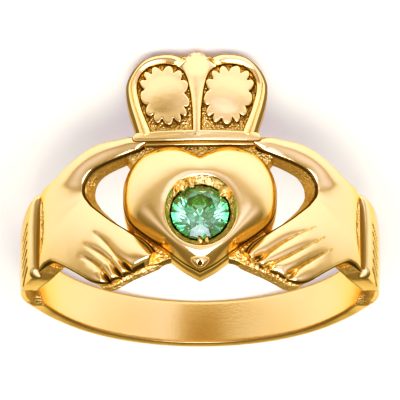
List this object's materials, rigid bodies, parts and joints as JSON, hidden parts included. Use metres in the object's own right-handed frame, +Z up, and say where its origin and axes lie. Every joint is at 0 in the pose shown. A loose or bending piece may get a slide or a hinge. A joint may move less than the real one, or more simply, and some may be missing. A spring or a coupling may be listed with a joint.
{
  "type": "claddagh ring",
  "caption": "Gold finger ring with a raised crown over a domed heart held by two hands, set with a round green stone.",
  "frame": {"origin": "centre of the bounding box's bottom, on the surface that the ring lies on", "axes": "+Z up from that surface; the head and its heart face -Y and tilt up; the crown points down towards -Y; X runs across the two hands"},
  "size_m": [0.0192, 0.0215, 0.0122],
  "materials": {
    "gold": "polished yellow gold, with as-cast texture in the sunk areas",
    "stone": "clear light green faceted stone"
  },
  "bodies": {
    "root": {"ring": "gold", "stone": "stone"}
  },
  "joints": []
}
